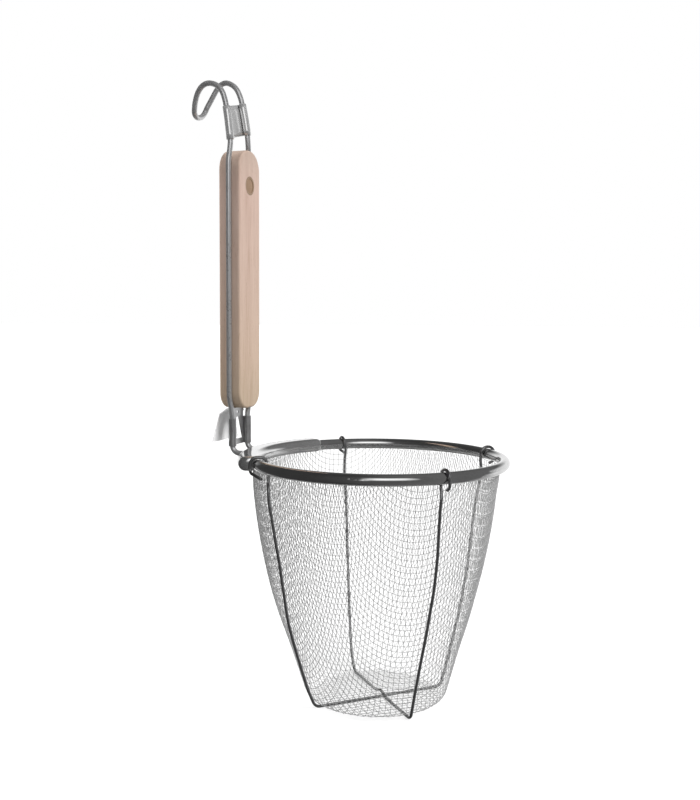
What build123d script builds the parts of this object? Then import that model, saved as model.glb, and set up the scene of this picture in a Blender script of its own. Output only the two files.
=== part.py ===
# Deep wire-mesh noodle strainer: woven cup in a rolled rim, two rib wires,
# a hairpin wire handle with wooden scales, a hanging hook and a pot-edge clip.
# Millimetres. Origin on the resting plane at the cup's axis, +Z up, handle towards -X.
import os
from math import asin, atan2, cos, degrees, hypot, pi, radians, sin, tan

from build123d import *

# General fits
clearance = 0.15
full_turn = 360
quarter_turn = 90
half_share = 0.5

# Rolled rim
rim_radius = 67.0
rim_tube_radius = 3.0
rim_wall = 0.7
rim_height = 131.0

# Woven cup
cloth_thickness = 1.1
hem_height = 6.0
hem_depth_in_rim = 1.2
hem_offset = 0.6
cup_floor_radius = 31.0
cup_floor_edge_height = 1.75
cup_floor_crown = 1.6
cup_corner_radius = 38.0
cup_corner_height = 6.0
wall_height_shares = [0.18, 0.36, 0.54, 0.71, 0.86]
wall_radius_shares = [0.275, 0.527, 0.728, 0.870, 0.955]

# Coarse grid of gaps that stands for the cup's fine weave
mesh_columns = 16
mesh_rows = 7
mesh_bar = 3.2
mesh_corner_rise = 2.0
mesh_cut_reach = 4.0
floor_mesh_radius = 33.5
floor_gaps_across = 5

# Rib wires
rib_wire_radius = 0.8
rib_flat_depth = 0.15
rib_corner_radius = 37.6
rib_corner_bend = 3.0
rib_gap = 0.5
rib_leg_shares = [0.20, 0.42, 0.66, 0.90]
rib_leg_bend = 60.0
rib_pass_run = 7.0
rib_hump_reach = 7.0
rib_hump_bend = 3.0
rib_turn_height = 6.5
rib_turn_bend = 4.0
rib_eye_gap = 0.25
rib_eye_shift = 3.0
rib_one_rim_angles = (-135.4, 46.0)
rib_one_base_angles = (-139.0, 40.4)
rib_two_rim_angles = (-42.2, 129.4)
rib_two_base_angles = (-43.0, 135.0)
rib_pass_gap = 0.3

# Handle wire, its feet against the rim and its legs outside them
handle_wire_radius = 1.5
leg_half_spacing = 9.1
grip_half_spacing = 12.8
foot_gap = 0.8
foot_run = 15.0
foot_bend = 3.8
leg_bend = 4.2
leg_offset = 11.7
leg_spread_drop = 4.0
leg_spread_rise = 11.0
grip_run = 127.5
leg_close_rise = 10.5
leg_crank_bend = 14.0

# Hanging hook
hook_lean_angle = 11.7
hook_neck = 28.0
hook_bend = 9.9
hook_turn = 153.7
hook_drop = 2.4
hook_slack = 0.06

# Wooden scales
scale_half_width = 12.2
scale_thickness = 6.5
scale_gap = 0.6
scale_overrun = 8.1
scale_top_round = 11.0
scale_bottom_round = 9.0
scale_edge_round = 1.2
groove_gap = 0.1

# Wooden dowel
dowel_radius = 4.0
dowel_drop = 19.2
dowel_recess = 0.3
dowel_gap = 0.05

# Rolled sheet clips
sheet = 0.6
roll_gap = 0.05
clip_drop = 22.6
upper_clip_length = 18.2
bracket_rise = 3.8
bracket_length = 15.4
bracket_neck_rise = 5.2
bracket_neck_half = 6.6
bracket_base_strip = 3.2
window_overrun = 0.3
window_top_half = 1.4
window_bottom_half = 6.0
lug_hole_radius = 1.0
lug_drop = 2.0

# Pot-edge tongue
tongue_gap = 6.9
tongue_crest = 2.9
tongue_shoulder_drop = 3.0
tongue_rise = 2.4
tongue_flare = 0.8
tongue_top_half = 8.0
tongue_bottom_half = 15.4

# Rim sleeve
sleeve_sheet = 0.7
sleeve_gap = 0.08
sleeve_half_angle = 36.0
lobe_slack = 1.3
slot_gap = 0.12

# Places that follow from the sizes above
cup_top_radius = rim_radius - hem_offset
foot_radius = rim_radius + rim_tube_radius + handle_wire_radius + foot_gap
handle_reach = foot_radius + leg_offset
sleeve_lobe_radius = foot_radius + lobe_slack
bracket_bottom = rim_height + bracket_rise
bracket_top = bracket_bottom + bracket_length
bracket_neck_top = bracket_top + bracket_neck_rise
window_top_height = bracket_top + window_overrun
lug_hole_height = bracket_neck_top - lug_drop
tongue_shoulder = bracket_neck_top - tongue_shoulder_drop
tongue_bottom = bracket_bottom + tongue_rise
scale_bottom_height = bracket_neck_top + scale_gap
leg_spread_start = scale_bottom_height - leg_spread_drop
leg_close_start = leg_spread_start + leg_spread_rise + grip_run
lean_foot = leg_close_start + leg_close_rise
scale_top_height = leg_close_start + scale_overrun
dowel_height = scale_top_height - dowel_drop
hook_start_height = lean_foot + hook_neck
upper_clip_bottom = hook_start_height - clip_drop


def polar(radius, angle, height):
    """A point at a radius and an angle in degrees round the cup's axis."""
    return Vector(radius * cos(radians(angle)), radius * sin(radians(angle)), height)


def tube_along(path, radius):
    """A round wire swept along a path of lines and arcs."""
    start = Plane(origin=path @ 0, z_dir=path % 0)
    return sweep(start * Circle(radius), path=path)


def ring_of(profile, arc=full_turn):
    """A profile drawn in the XZ plane turned about the cup's axis."""
    return revolve(Plane.XZ * profile, Axis.Z, arc)


# Cup wall outline, from the corner at the floor up to the rim
cup_top_height = rim_height - rim_tube_radius + hem_depth_in_rim
rib_turn_index = len(rib_leg_shares) + 1
cup_wall_height = cup_top_height - cup_corner_height
cup_wall_spread = cup_top_radius - cup_corner_radius
wall_points = [(cup_corner_radius, cup_corner_height)]
for height_share, radius_share in zip(wall_height_shares, wall_radius_shares):
    wall_radius = cup_corner_radius + cup_wall_spread * radius_share
    wall_height = cup_corner_height + cup_wall_height * height_share
    wall_points.append((wall_radius, wall_height))
wall_points.append((cup_top_radius, cup_top_height))


def wall_radius_at(height):
    """The cup's outer radius at a height, between the outline's points."""
    for low, high in zip(wall_points, wall_points[1:]):
        if height <= high[1]:
            break
    share = (height - low[1]) / (high[1] - low[1])
    return low[0] + (high[0] - low[0]) * share


def cup_profile(inset):
    """The closed outline of the cup's body, drawn in by an inset."""
    crown_height = cup_floor_edge_height + cup_floor_crown + inset
    edge_height = cup_floor_edge_height + inset
    points = [(radius - inset, height) for radius, height in wall_points]
    floor = Line((0, crown_height), (cup_floor_radius, edge_height))
    wall = Spline(*points, tangents=[(sin(radians(wall_lean)), cos(radians(wall_lean))), (0, 1)])
    corner = Spline(floor @ 1, wall @ 0, tangents=[floor % 1, wall % 0])
    top = Polyline(wall @ 1, (0, cup_top_height), (0, crown_height))
    return make_face(floor + corner + wall + top)


wall_lean = degrees(atan2(wall_points[1][0] - wall_points[0][0], wall_points[1][1] - wall_points[0][1]))


def slot_ring():
    """The ring of space that the cup's folded hem takes up through the rim."""
    inner = cup_top_radius - cloth_thickness - slot_gap
    outer = cup_top_radius + slot_gap
    low = rim_height - rim_tube_radius - sleeve_sheet - slot_gap - sheet
    place = Pos((inner + outer) * half_share, (low + rim_height) * half_share)
    return ring_of(place * Rectangle(outer - inner, rim_height - low))


# Mesh cup, whole along its folded hem and open below it
body = ring_of(cup_profile(0)) - ring_of(cup_profile(cloth_thickness))


def gap_row(inner, outer, low, high):
    """One row of gaps round the cup, between two radii and two heights."""
    radius = (inner + outer) * half_share
    width = 2 * radius * sin(pi / mesh_columns) - mesh_bar
    gap = Pos(0, 0, (low + high) * half_share) * Box(outer - inner, width, high - low)
    first_turn = full_turn * half_share / mesh_columns
    return [place * gap for place in PolarLocations(radius, mesh_columns, first_turn)]


# Gaps of the mesh, in rows up the wall, across the corner and in squares over the floor
corner_gap_top = cup_corner_height + mesh_corner_rise
mesh_gaps = gap_row(floor_mesh_radius + mesh_bar, cup_corner_radius + mesh_cut_reach, 0, corner_gap_top)
row_pitch = (cup_top_height - hem_height - corner_gap_top) / mesh_rows
for row in range(mesh_rows):
    gap_bottom = corner_gap_top + mesh_bar + row_pitch * row
    gap_top = corner_gap_top + row_pitch * (row + 1)
    radius = wall_radius_at((gap_bottom + gap_top) * half_share)
    mesh_gaps += gap_row(radius - mesh_cut_reach, radius + mesh_cut_reach, gap_bottom, gap_top)
floor_pitch = floor_mesh_radius * 2 / floor_gaps_across
floor_gap = Box(floor_pitch - mesh_bar, floor_pitch - mesh_bar, cup_corner_height * 2)
floor_disc = Cylinder(floor_mesh_radius, cup_corner_height * 2)
for place in GridLocations(floor_pitch, floor_pitch, floor_gaps_across, floor_gaps_across):
    if hypot(place.position.X, place.position.Y) < floor_mesh_radius:
        mesh_gaps.append(place * floor_gap & floor_disc)
mesh_basket = body - mesh_gaps

# Rolled rim, a strip curled shut round the hem
rim_section = Circle(rim_tube_radius) - Circle(rim_tube_radius - rim_wall)
rim_tube = ring_of(Pos(rim_radius, rim_height) * rim_section) - slot_ring()


def rib_leg(rim_angle, base_angle, side):
    """Points of one rib leg, from the floor corner to the end of its eye over the rim."""
    line = rib_wire_radius - rib_flat_depth
    points = [polar(rib_corner_radius, base_angle, line)]
    bends = [rib_corner_bend]
    top = rim_height - rib_turn_height
    for share in rib_leg_shares:
        height = line + (top - line) * share
        angle = base_angle + (rim_angle - base_angle) * share
        radius = wall_radius_at(height) + rib_wire_radius + rib_gap
        points.append(polar(radius, angle, height))
        bends.append(rib_leg_bend)
    radius = wall_radius_at(top) + rib_wire_radius + rib_gap
    points.append(polar(radius, rim_angle, top))
    bends.append(rib_turn_bend)
    eye = rim_tube_radius + rib_wire_radius + rib_eye_gap
    corners = [(-1, -1), (-1, 1), (1, 1), (1, -1)]
    tangent = Vector(-sin(radians(rim_angle)), cos(radians(rim_angle)), 0) * side
    for number, (out, up) in enumerate(corners):
        shift = tangent * (rib_eye_shift * number / len(corners))
        reach = eye if up > 0 else eye * tan(radians(quarter_turn * half_share))
        point = polar(rim_radius + out * eye, rim_angle, rim_height + up * reach)
        if number == 0:
            point = polar(rim_radius - eye, rim_angle, rim_height - eye * half_share)
        if number == len(corners) - 1:
            point = polar(rim_radius + out * eye, rim_angle, rim_height - eye)
        points.append(point + shift)
        bends.append(eye - clearance if 0 < number < len(corners) - 1 else eye * half_share)
    tail = polar(rim_radius + rib_wire_radius, rim_angle, rim_height - eye - rib_wire_radius)
    points.append(tail + tangent * rib_eye_shift)
    return points, bends


def rib_path(rim_angles, base_angles, hump, sides):
    """One rib's route: a flat run under the floor, two legs and an eye at each end."""
    first, first_bends = rib_leg(rim_angles[0], base_angles[0], sides[0])
    last, last_bends = rib_leg(rim_angles[1], base_angles[1], sides[1])
    middle = []
    middle_bends = []
    if hump:
        start = first[0]
        end = last[0]
        along = (end - start).normalized()
        centre = (start + end) * half_share
        rise = Vector(0, 0, 2 * rib_wire_radius + clearance)
        for reach in (-rib_hump_reach, -rib_wire_radius, rib_wire_radius, rib_hump_reach):
            lift = rise if abs(reach) < rib_hump_reach else Vector(0, 0, 0)
            middle.append(centre + along * reach + lift)
            middle_bends.append(rib_hump_bend)
    points = first[::-1] + middle + last
    bends = first_bends[::-1] + middle_bends + last_bends
    return FilletPolyline(*points, radius=bends)


def rib_wire(path):
    """A rib wire, worn flat where it stands."""
    under = Pos(0, 0, -rim_radius) * Box(rim_radius * 2, rim_radius * 2, rim_radius * 2)
    return tube_along(path, rib_wire_radius) - under


rib_paths = [
    rib_path(rib_one_rim_angles, rib_one_base_angles, False, (-1, 1)),
    rib_path(rib_two_rim_angles, rib_two_base_angles, True, (1, -1)),
]
rib_wire_one = rib_wire(rib_paths[0])
rib_wire_two = rib_wire(rib_paths[1])
rib_ends = [
    (rib_one_rim_angles[0], rib_one_base_angles[0], -1),
    (rib_one_rim_angles[1], rib_one_base_angles[1], 1),
    (rib_two_rim_angles[0], rib_two_base_angles[0], 1),
    (rib_two_rim_angles[1], rib_two_base_angles[1], -1),
]
for rim_angle, base_angle, side in rib_ends:
    leg, leg_bends = rib_leg(rim_angle, base_angle, side)
    below = leg[rib_turn_index] + (leg[rib_turn_index - 1] - leg[rib_turn_index]).normalized() * rib_pass_run
    above = leg[rib_turn_index + 1]
    pass_path = FilletPolyline(below, leg[rib_turn_index], above, radius=rib_turn_bend)
    mesh_basket = mesh_basket - tube_along(pass_path, rib_wire_radius + rib_pass_gap)


def heading(angle):
    """A unit step in the handle's XZ plane, by its angle from +X."""
    return Vector(cos(radians(angle)), 0, sin(radians(angle)))


def handle_points():
    """One half of the hairpin wire, from its foot in the sleeve to the hook's closed end."""
    foot_start = asin(leg_half_spacing / foot_radius)
    foot_end = foot_start + foot_run / foot_radius
    side = Vector(0, leg_half_spacing, 0)
    points = [
        Vector(-foot_radius * cos(foot_end), foot_radius * sin(foot_end), rim_height),
        Vector(-foot_radius * cos(foot_start), leg_half_spacing, rim_height),
        Vector(-handle_reach, leg_half_spacing, rim_height),
        Vector(-handle_reach, leg_half_spacing, leg_spread_start),
        Vector(-handle_reach, grip_half_spacing, leg_spread_start + leg_spread_rise),
        Vector(-handle_reach, grip_half_spacing, leg_close_start),
        Vector(-handle_reach, leg_half_spacing, lean_foot),
    ]
    bends = [foot_bend, leg_bend] + [leg_crank_bend] * 4
    lean_start = points[-1]
    first_heading = quarter_turn + hook_lean_angle
    lean_run = (hook_start_height - lean_start.Z) / cos(radians(hook_lean_angle))
    reach = hook_bend * tan(radians(hook_turn * half_share * half_share))
    corner = lean_start + heading(first_heading) * (lean_run + reach)
    points.append(corner)
    corner = corner + heading(first_heading + hook_turn * half_share) * (2 * reach + hook_slack)
    points.append(corner)
    corner = corner + heading(first_heading + hook_turn) * (reach + hook_drop + leg_half_spacing)
    points.append(corner)
    bends = bends + [hook_bend, hook_bend, leg_half_spacing - hook_slack]
    return points, bends


half_points, half_bends = handle_points()
mirrored = [Vector(point.X, -point.Y, point.Z) for point in half_points[::-1]]
handle_path = FilletPolyline(*half_points, *mirrored, radius=half_bends + half_bends[::-1])
handle_wire = tube_along(handle_path, handle_wire_radius)

# Wooden scales, halved on the wire
groove = tube_along(handle_path, handle_wire_radius + groove_gap)
scale_length = scale_top_height - scale_bottom_height
scale_centre = (scale_top_height + scale_bottom_height) * half_share
dowel_at = Pos(-handle_reach, 0, dowel_height) * Rot(0, quarter_turn, 0)
dowel_hole = dowel_at * Cylinder(dowel_radius + dowel_gap, scale_thickness * 3)


def scale(side):
    """One wooden scale. Side 1 faces the cup and side -1 faces away from it."""
    outline = Rectangle(scale_half_width * 2, scale_length)
    corners = outline.vertices().group_by(Axis.Y)
    outline = fillet(corners[-1], scale_top_round)
    corners = outline.vertices().group_by(Axis.Y)
    outline = fillet(corners[0], scale_bottom_round)
    face = Plane.YZ * Pos(0, scale_centre) * outline
    body = Pos(-handle_reach, 0, 0) * extrude(face, side * scale_thickness)
    rim = body.faces().sort_by(Axis.X)[-1 if side > 0 else 0].edges()
    body = fillet(rim, scale_edge_round)
    return body - groove - dowel_hole


inner_scale = scale(1)
outer_scale = scale(-1)
dowel_pin = dowel_at * Cylinder(dowel_radius, (scale_thickness - dowel_recess) * 2)

roll_inner = handle_wire_radius + roll_gap
roll_outer = roll_inner + sheet


def plate(points, thickness):
    """A flat plate in the YZ plane, centred on X."""
    face = Plane.YZ * make_face(Polyline(*points, close=True))
    return extrude(face, thickness * half_share, both=True)


def rolled_sheet(length):
    """Two rolls round the legs, standing on the XY plane, with their bores."""
    rolls = []
    bores = []
    for side in (-1, 1):
        place = Pos(0, side * leg_half_spacing, length * half_share)
        rolls.append(place * Cylinder(roll_outer, length))
        bores.append(place * Cylinder(roll_inner, length * 2))
    return rolls, bores


# Upper clip, on the leaning strands below the hook
rolls, bores = rolled_sheet(upper_clip_length)
web_offset = -(roll_outer - sheet * half_share)
web_corners = [
    (-leg_half_spacing, 0),
    (leg_half_spacing, 0),
    (leg_half_spacing, upper_clip_length),
    (-leg_half_spacing, upper_clip_length),
]
web = Pos(web_offset, 0, 0) * plate(web_corners, sheet)
clip = rolls[0] + rolls[1] + web - bores[0] - bores[1]
clip_drift = (upper_clip_bottom - lean_foot) * tan(radians(hook_lean_angle))
upper_clip = Pos(-handle_reach - clip_drift, 0, upper_clip_bottom) * Rot(0, -hook_lean_angle, 0) * clip


def strip(points, thickness):
    """The outline of a folded sheet of even thickness, from the middle line of its section."""
    left = []
    right = []
    for number, point in enumerate(points):
        before = points[max(number - 1, 0)]
        after = points[min(number + 1, len(points) - 1)]
        runs = [(point[0] - before[0], point[1] - before[1]), (after[0] - point[0], after[1] - point[1])]
        runs = [(x / hypot(x, y), y / hypot(x, y)) for x, y in runs if hypot(x, y) > 0]
        across = (sum(-y for x, y in runs), sum(x for x, y in runs))
        size = hypot(*across)
        across = (across[0] / size, across[1] / size)
        miter = thickness * half_share / (across[0] * -runs[0][1] + across[1] * runs[0][0])
        left.append((point[0] + across[0] * miter, point[1] + across[1] * miter))
        right.append((point[0] - across[0] * miter, point[1] - across[1] * miter))
    return Polyline(*left, *right[::-1], close=True)


# Lower bracket with its window and the pot-edge tongue
rolls, bores = rolled_sheet(bracket_length)
web_corners = [
    (-leg_half_spacing, bracket_bottom),
    (leg_half_spacing, bracket_bottom),
    (leg_half_spacing, bracket_top),
    (bracket_neck_half, bracket_top),
    (bracket_neck_half, bracket_neck_top),
    (-bracket_neck_half, bracket_neck_top),
    (-bracket_neck_half, bracket_top),
    (-leg_half_spacing, bracket_top),
]
window_corners = [
    (-window_bottom_half, bracket_bottom + bracket_base_strip),
    (window_bottom_half, bracket_bottom + bracket_base_strip),
    (window_top_half, window_top_height),
    (-window_top_half, window_top_height),
]
tongue_line = [
    (0, lug_hole_height),
    (0, bracket_neck_top),
    (-tongue_crest, bracket_neck_top),
    (-tongue_gap, tongue_shoulder),
    (-tongue_gap - tongue_flare, tongue_bottom),
]
tongue_front = [
    (-bracket_neck_half, bracket_neck_top + sheet),
    (-tongue_top_half, tongue_shoulder),
    (-tongue_bottom_half, tongue_bottom - sheet),
    (tongue_bottom_half, tongue_bottom - sheet),
    (tongue_top_half, tongue_shoulder),
    (bracket_neck_half, bracket_neck_top + sheet),
]
tongue = extrude(Plane.XZ * make_face(strip(tongue_line, sheet)), tongue_bottom_half, both=True)
tongue = tongue & plate(tongue_front, handle_reach)
window = plate(window_corners, sheet * 2)
lug_hole = Pos(0, 0, lug_hole_height) * Rot(0, quarter_turn, 0) * Cylinder(lug_hole_radius, sheet * 3)
flat = plate(web_corners, sheet) - window + tongue - lug_hole
flat = Pos(web_offset, 0, 0) * flat
sheet_rolls = Pos(0, 0, bracket_bottom) * (rolls[0] + rolls[1])
sheet_bores = Pos(0, 0, bracket_bottom) * (bores[0] + bores[1])
lower_bracket = Pos(-handle_reach, 0, 0) * (sheet_rolls + flat - sheet_bores)

# Sleeve that holds the handle's feet against the rim
sleeve_inner = rim_tube_radius + sleeve_gap
sleeve_outer = sleeve_inner + sleeve_sheet
lobe_spread = sleeve_lobe_radius - rim_radius
sleeve_section = SlotCenterToCenter(lobe_spread, sleeve_outer * 2)
sleeve_section = sleeve_section - SlotCenterToCenter(lobe_spread, sleeve_inner * 2)
sleeve_middle = rim_radius + lobe_spread * half_share
half_sleeve = ring_of(Pos(sleeve_middle, rim_height) * sleeve_section, sleeve_half_angle)
half_sleeve = Rot(0, 0, full_turn * half_share - sleeve_half_angle) * half_sleeve
stub_length = handle_reach - foot_radius
stub = Pos(-sleeve_lobe_radius - sleeve_outer, leg_half_spacing, rim_height) * Rot(0, quarter_turn, 0)
half_sleeve = half_sleeve - stub * Cylinder(handle_wire_radius + clearance, stub_length) - slot_ring()
rim_sleeve = half_sleeve + mirror(half_sleeve, about=Plane.XZ)

parts = {
    "mesh_basket": mesh_basket,
    "rim_tube": rim_tube,
    "rim_sleeve": rim_sleeve,
    "rib_wire_one": rib_wire_one,
    "rib_wire_two": rib_wire_two,
    "handle_wire": handle_wire,
    "upper_clip": upper_clip,
    "lower_bracket": lower_bracket,
    "inner_scale": inner_scale,
    "outer_scale": outer_scale,
    "dowel_pin": dowel_pin,
}
os.makedirs("parts", exist_ok=True)
for name, solid in parts.items():
    export_step(solid, f"parts/{name}.step")
    box = solid.bounding_box()
    print(name, round(solid.volume), box.min, box.max, len(solid.solids()))
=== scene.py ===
import bmesh
import bpy
import math
import numpy as np
from mathutils import Matrix, Vector


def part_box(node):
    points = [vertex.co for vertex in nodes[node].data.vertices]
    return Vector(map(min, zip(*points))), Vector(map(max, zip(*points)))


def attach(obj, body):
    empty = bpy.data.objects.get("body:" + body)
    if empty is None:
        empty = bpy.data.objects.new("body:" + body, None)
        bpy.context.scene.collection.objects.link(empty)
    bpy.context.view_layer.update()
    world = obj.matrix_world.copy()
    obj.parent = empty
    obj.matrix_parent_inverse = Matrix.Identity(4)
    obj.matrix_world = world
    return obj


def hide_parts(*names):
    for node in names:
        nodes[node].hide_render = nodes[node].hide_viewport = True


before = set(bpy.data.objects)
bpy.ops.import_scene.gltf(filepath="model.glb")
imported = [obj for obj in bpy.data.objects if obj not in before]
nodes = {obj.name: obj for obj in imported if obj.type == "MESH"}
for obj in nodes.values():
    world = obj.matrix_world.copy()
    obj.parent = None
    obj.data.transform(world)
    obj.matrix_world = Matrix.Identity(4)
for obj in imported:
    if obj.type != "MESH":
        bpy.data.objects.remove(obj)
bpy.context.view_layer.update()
scene = bpy.context.scene

# Lengths are in mm, and MM turns them into metres for Blender
MM = 0.001
FULL_TURN = 2 * math.pi
QUARTER_TURN = math.pi / 2
TINY = 1e-9


def box_in_mm(node_name):
    """A CAD node's lowest and highest corners, to a tenth of a mm."""
    return [[round(value / MM, 1) for value in corner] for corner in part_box(node_name)]


# Sizes taken from the CAD
rim_low, rim_high = box_in_mm("rim_tube")
RIM_TUBE_RADIUS = (rim_high[2] - rim_low[2]) / 2
RIM_RADIUS = rim_high[0] - RIM_TUBE_RADIUS
RIM_HEIGHT = (rim_low[2] + rim_high[2]) / 2
dowel_low, dowel_high = box_in_mm("dowel_pin")
DOWEL_RADIUS = dowel_high[1]
DOWEL_HEIGHT = (dowel_low[2] + dowel_high[2]) / 2
HANDLE_X = box_in_mm("inner_scale")[0][0]

# Camera, fitted to the photograph's rim, base cross and handle, its place in metres
SENSOR_WIDTH = 36.0
FOCAL_LENGTH = 45.99
CLIP_START = 0.01
CAMERA_PLACE = (0.1857, -0.5143, 0.2122)
CAMERA_RIGHT = (0.9301, 0.3672, 0.0070)
CAMERA_FORWARD = (-0.3652, 0.9267, -0.0893)

camera_data = bpy.data.cameras.new("camera")
camera_data.sensor_width = SENSOR_WIDTH
camera_data.lens = FOCAL_LENGTH
camera_data.clip_start = CLIP_START
camera = bpy.data.objects.new("camera", camera_data)
scene.collection.objects.link(camera)
right = Vector(CAMERA_RIGHT).normalized()
forward = Vector(CAMERA_FORWARD).normalized()
up = right.cross(forward).normalized()
facing = Matrix((right, up, -forward)).transposed()
camera.matrix_world = Matrix.Translation(CAMERA_PLACE) @ facing.to_4x4()
scene.camera = camera
scene.view_settings.view_transform = "Standard"

# Shader nodes
FACING_SOFTNESS = 0.25
# Most of a noise lies between these
NOISE_LOW, NOISE_HIGH = 0.3, 0.7


def grey(level, blue=0.0):
    """A neutral colour, with a little more blue where asked."""
    return (level, level, level + blue)


def rgba(colour):
    return (*colour, 1.0)


def feed(tree, value, socket):
    """Link a node's output to a socket, or set a number, vector or colour on it."""
    if isinstance(value, bpy.types.NodeSocket):
        tree.links.new(value, socket)
    else:
        socket.default_value = value


def node(tree, kind, inputs=None, **settings):
    """A new node with its settings, and its named inputs fed."""
    made = tree.nodes.new(kind)
    for name, value in settings.items():
        setattr(made, name, value)
    for name, value in (inputs or {}).items():
        feed(tree, value, made.inputs[name])
    return made


def new_material(name, colour):
    """A material with one principled shader, and the flat colour that a viewport shows."""
    material = bpy.data.materials.new(name)
    material.use_nodes = True
    material.diffuse_color = rgba(colour)
    tree = material.node_tree
    tree.nodes.clear()
    shader = node(tree, "ShaderNodeBsdfPrincipled")
    node(tree, "ShaderNodeOutputMaterial", {"Surface": shader.outputs["BSDF"]})
    return material, tree, shader


def coords(tree, scale=(1, 1, 1)):
    """The place on the object in metres, times the scale."""
    place = node(tree, "ShaderNodeTexCoord").outputs["Object"]
    return node(tree, "ShaderNodeMapping", {"Vector": place, "Scale": scale}).outputs["Vector"]


def split_axes(tree, vector):
    split = node(tree, "ShaderNodeSeparateXYZ", {"Vector": vector})
    return split.outputs["X"], split.outputs["Y"], split.outputs["Z"]


def noise(tree, vector, scale, detail, rough=0.5, distortion=0.0):
    inputs = {
        "Vector": vector, "Scale": scale, "Detail": detail, "Roughness": rough, "Distortion": distortion,
    }
    return node(tree, "ShaderNodeTexNoise", inputs).outputs["Fac"]


def ramp(tree, value, stops):
    """A colour ramp through stops, each a place from 0 to 1 and a colour."""
    made = node(tree, "ShaderNodeValToRGB", {"Fac": value})
    elements = made.color_ramp.elements
    while len(elements) < len(stops):
        elements.new(0.5)
    for element, (place, colour) in zip(elements, stops):
        element.position = place
        element.color = rgba(colour)
    return made.outputs["Color"]


def map_range(tree, value, low, high, to_low, to_high):
    inputs = {"Value": value, "From Min": low, "From Max": high, "To Min": to_low, "To Max": to_high}
    return node(tree, "ShaderNodeMapRange", inputs).outputs["Result"]


def mix_colour(tree, share, base, other, blend="MIX"):
    """The base colour with a share of the other one mixed in. Each is an output or a plain colour."""
    made = node(tree, "ShaderNodeMix", data_type="RGBA", blend_type=blend)
    share_in, base_in, other_in = [socket for socket in made.inputs if socket.enabled]
    feed(tree, share, share_in)
    for colour, socket in ((base, base_in), (other, other_in)):
        feed(tree, rgba(colour) if isinstance(colour, tuple) else colour, socket)
    return next(socket for socket in made.outputs if socket.enabled)


def maths(tree, operation, *values):
    made = node(tree, "ShaderNodeMath", operation=operation)
    for value, socket in zip(values, made.inputs):
        feed(tree, value, socket)
    return made.outputs["Value"]


def vector_maths(tree, operation, *values):
    made = node(tree, "ShaderNodeVectorMath", operation=operation)
    for value, socket in zip(values, made.inputs):
        feed(tree, value, socket)
    return made.outputs["Value" if operation == "DOT_PRODUCT" else "Vector"]


def bump(tree, shader, height, strength, distance):
    made = node(tree, "ShaderNodeBump", {"Height": height, "Strength": strength, "Distance": distance})
    feed(tree, made.outputs["Normal"], shader.inputs["Normal"])


def facing_axis(tree, place):
    """1 where a surface faces the cup's axis, 0 where it faces away."""
    normal = node(tree, "ShaderNodeNewGeometry").outputs["True Normal"]
    level = vector_maths(tree, "MULTIPLY", place, (1.0, 1.0, 0.0))
    outwards = vector_maths(tree, "NORMALIZE", level)
    alike = vector_maths(tree, "DOT_PRODUCT", outwards, normal)
    return map_range(tree, alike, FACING_SOFTNESS, -FACING_SOFTNESS, 0.0, 1.0)


# Steel
DRIFT_SCALE = 60.0
STREAK_SHARE = 0.6
STREAKS = [(0.35, grey(0.86)), (0.65, grey(1.0))]
GRAIN_RELIEF, DRIFT_RELIEF = 0.6, 0.4
METAL_BUMP_STRENGTH = 0.35
# The cloth is painted lighter on its inside as painted light, and painted shade darkens it towards the
# handle between two places along X
CLOTH_INSIDE_PAINTED_LIGHT = grey(0.93)
DARKEST_X, DARKENS_FROM_X = -58.0, -36.0
PAINTED_SHADE_SHARE = 0.6
CLOTH_PAINTED_SHADE = grey(0.14)
# The pot-edge tongue lies outside the handle's legs, and is painted paler than the bracket as painted light
TONGUE_START = -86.4
TONGUE_FADE = 0.6
TONGUE_PAINTED_LIGHT = grey(0.95)


def cloth_painted_light(tree, place, colour, metallic):
    """The cloth's steel, with painted light inside the cup and painted shade near the handle."""
    across = split_axes(tree, place)[0]
    painted_shade_near_handle = map_range(tree, across, DARKEST_X * MM, DARKENS_FROM_X * MM, PAINTED_SHADE_SHARE, 0.0)
    colour = mix_colour(tree, facing_axis(tree, place), colour, CLOTH_INSIDE_PAINTED_LIGHT)
    return mix_colour(tree, painted_shade_near_handle, colour, CLOTH_PAINTED_SHADE), metallic


def bracket_painted_light(tree, place, colour, metallic):
    """The bracket's steel with a plain tongue, painted paler as painted light."""
    across = split_axes(tree, place)[0]
    tongue = map_range(tree, across, TONGUE_START * MM, (TONGUE_START - TONGUE_FADE) * MM, 0.0, 1.0)
    return mix_colour(tree, tongue, colour, TONGUE_PAINTED_LIGHT), map_range(tree, tongue, 0.0, 1.0, metallic, 0.0)


def metal(name, dark, light, rough, grain, bump_height, stretch=(1, 1, 1), metallic=1.0, painted_light=None):
    """Steel whose tone drifts slowly, with a fine grain in its colour, roughness and bump."""
    material, tree, shader = new_material(name, light)
    place = coords(tree)
    drift = noise(tree, place, DRIFT_SCALE, detail=4.0, rough=0.6)
    fine = noise(tree, coords(tree, stretch), grain, detail=3.0, rough=0.55)
    tone = ramp(tree, drift, [(NOISE_LOW, dark), (NOISE_HIGH, light)])
    colour = mix_colour(tree, STREAK_SHARE, tone, ramp(tree, fine, STREAKS), "MULTIPLY")
    # Painted light and shade, where given, go over the steel's colour
    if painted_light is not None:
        colour, metallic = painted_light(tree, place, colour, metallic)
    grain_part = maths(tree, "MULTIPLY", fine, GRAIN_RELIEF)
    relief = maths(tree, "ADD", grain_part, maths(tree, "MULTIPLY", drift, DRIFT_RELIEF))
    feed(tree, colour, shader.inputs["Base Color"])
    feed(tree, metallic, shader.inputs["Metallic"])
    feed(tree, map_range(tree, relief, NOISE_LOW, NOISE_HIGH, *rough), shader.inputs["Roughness"])
    bump(tree, shader, relief, METAL_BUMP_STRENGTH, bump_height * MM)
    return material


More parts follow.
